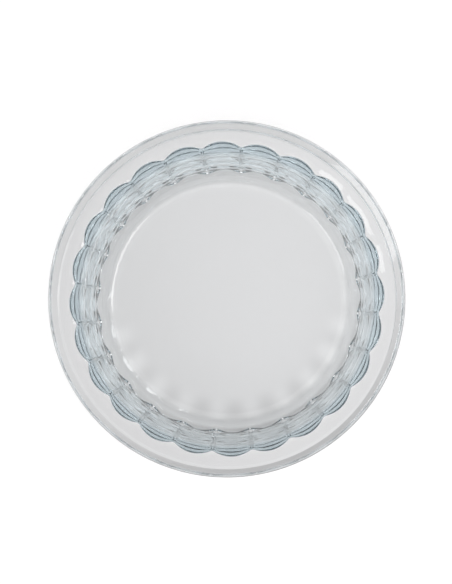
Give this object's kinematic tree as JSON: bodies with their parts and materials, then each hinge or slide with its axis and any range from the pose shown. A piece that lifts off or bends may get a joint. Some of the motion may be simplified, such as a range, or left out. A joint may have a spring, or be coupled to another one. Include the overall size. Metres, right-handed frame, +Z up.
{
  "type": "ramekin",
  "caption": "Clear pressed-glass ramekin: round tapered cup with a smooth well, convex fluted lobes outside and a plain collar that flares out to a rounded lip.",
  "frame": {"origin": "centre of the foot, on the surface that the dish stands on", "axes": "+Z up along the dish's axis, out of its mouth; +X through the crest of one lobe"},
  "size_m": [0.1, 0.1, 0.045],
  "materials": {
    "clear_glass": "fire-polished"
  },
  "bodies": {
    "root": {"glass_body": "clear_glass"}
  },
  "joints": []
}
